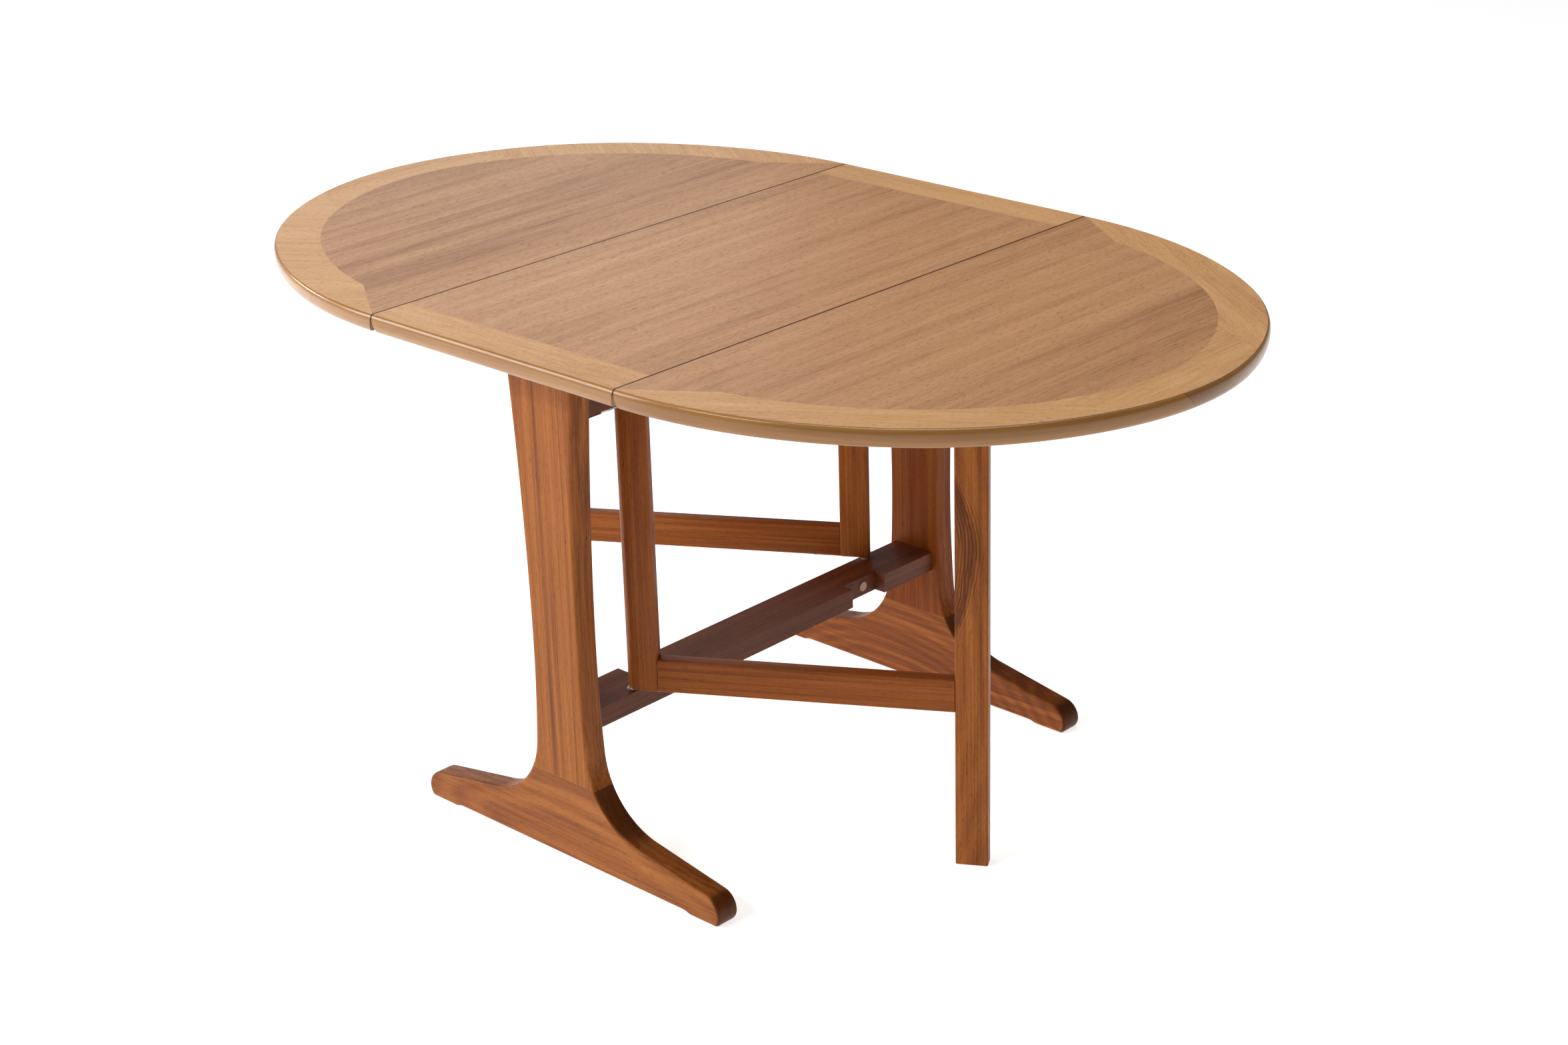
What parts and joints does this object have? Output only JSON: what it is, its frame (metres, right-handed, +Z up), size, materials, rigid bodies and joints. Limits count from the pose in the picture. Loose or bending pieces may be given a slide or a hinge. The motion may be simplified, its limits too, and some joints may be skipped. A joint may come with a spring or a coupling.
{
  "type": "drop leaf table",
  "caption": "Oval gateleg dining table with a fixed centre panel, hinged leaves held up by swinging gates, and sculpted trestles joined by long stretchers.",
  "frame": {"origin": "on the floor under the middle of the table top", "axes": "+X across the hinge lines towards the right leaf, +Y along the hinge lines towards the far trestle, +Z up"},
  "size_m": [1.493, 0.901, 0.735],
  "materials": {
    "core_board": "veneered underside, satin",
    "golden_lipping": "satin lacquer",
    "field_veneer": "satin lacquer, open grain",
    "border_veneer": "satin lacquer, open grain",
    "frame_teak": "oiled",
    "dark_teak": "oiled",
    "beech_dowel": "bare",
    "pale_nylon": "smooth",
    "zinc_steel": "zinc plated"
  },
  "bodies": {
    "frame": {"centre_board": "core_board", "centre_hinge_edgings": "golden_lipping", "centre_lippings": "golden_lipping", "centre_veneer": "field_veneer", "centre_end_bands": "border_veneer", "near_post": "frame_teak", "far_post": "frame_teak", "near_foot": "frame_teak", "far_foot": "frame_teak", "trestle_dowels": "beech_dowel", "lower_stretcher": "dark_teak", "upper_stretcher": "dark_teak", "stretcher_dowels": "beech_dowel", "notch_bumpers": "pale_nylon", "near_bearer": "dark_teak", "far_bearer": "dark_teak", "bearer_screws": "zinc_steel", "pivot_washers": "pale_nylon", "pivot_plates": "zinc_steel", "pivot_plate_screws": "zinc_steel", "right_hinge_centre_plates": "zinc_steel", "right_hinge_pins": "zinc_steel", "left_hinge_centre_plates": "zinc_steel", "left_hinge_pins": "zinc_steel", "right_panel_screws": "zinc_steel", "left_panel_screws": "zinc_steel"},
    "right_leaf": {"right_leaf_board": "core_board", "right_leaf_hinge_edging": "golden_lipping", "right_leaf_lipping": "golden_lipping", "right_leaf_veneer": "field_veneer", "right_leaf_band_near": "border_veneer", "right_leaf_band_tip": "border_veneer", "right_leaf_band_far": "border_veneer", "right_leaf_stop": "dark_teak", "right_hinge_leaf_plates": "zinc_steel", "right_leaf_screws": "zinc_steel"},
    "left_leaf": {"left_leaf_board": "core_board", "left_leaf_hinge_edging": "golden_lipping", "left_leaf_lipping": "golden_lipping", "left_leaf_veneer": "field_veneer", "left_leaf_band_near": "border_veneer", "left_leaf_band_tip": "border_veneer", "left_leaf_band_far": "border_veneer", "left_leaf_stop": "dark_teak", "left_hinge_leaf_plates": "zinc_steel", "left_leaf_screws": "zinc_steel"},
    "right_gate": {"right_gate_stile": "frame_teak", "right_gate_rail": "frame_teak", "right_gate_leg": "frame_teak", "right_gate_dowels": "beech_dowel", "right_gate_strip": "zinc_steel", "right_gate_screws": "zinc_steel", "right_gate_pins": "zinc_steel"},
    "left_gate": {"left_gate_stile": "frame_teak", "left_gate_rail": "frame_teak", "left_gate_leg": "frame_teak", "left_gate_dowels": "beech_dowel", "left_gate_strip": "zinc_steel", "left_gate_screws": "zinc_steel", "left_gate_pins": "zinc_steel"}
  },
  "joints": [
    {"name": "right_gate_swing", "type": "hinge", "parent": "frame", "child": "right_gate", "pos_m": [0.026, -0.258, 0.4], "axis": [0, 0, 1], "range_deg": [0, 59]},
    {"name": "left_gate_swing", "type": "hinge", "parent": "frame", "child": "left_gate", "pos_m": [-0.026, 0.258, 0.4], "axis": [0, 0, 1], "range_deg": [0, 59]},
    {"name": "right_leaf_lift", "type": "hinge", "parent": "frame", "child": "right_leaf", "pos_m": [0.2205, 0, 0.711], "axis": [0, -1, 0], "range_deg": [0, 2]},
    {"name": "left_leaf_lift", "type": "hinge", "parent": "frame", "child": "left_leaf", "pos_m": [-0.2205, 0, 0.711], "axis": [0, 1, 0], "range_deg": [0, 2]}
  ]
}
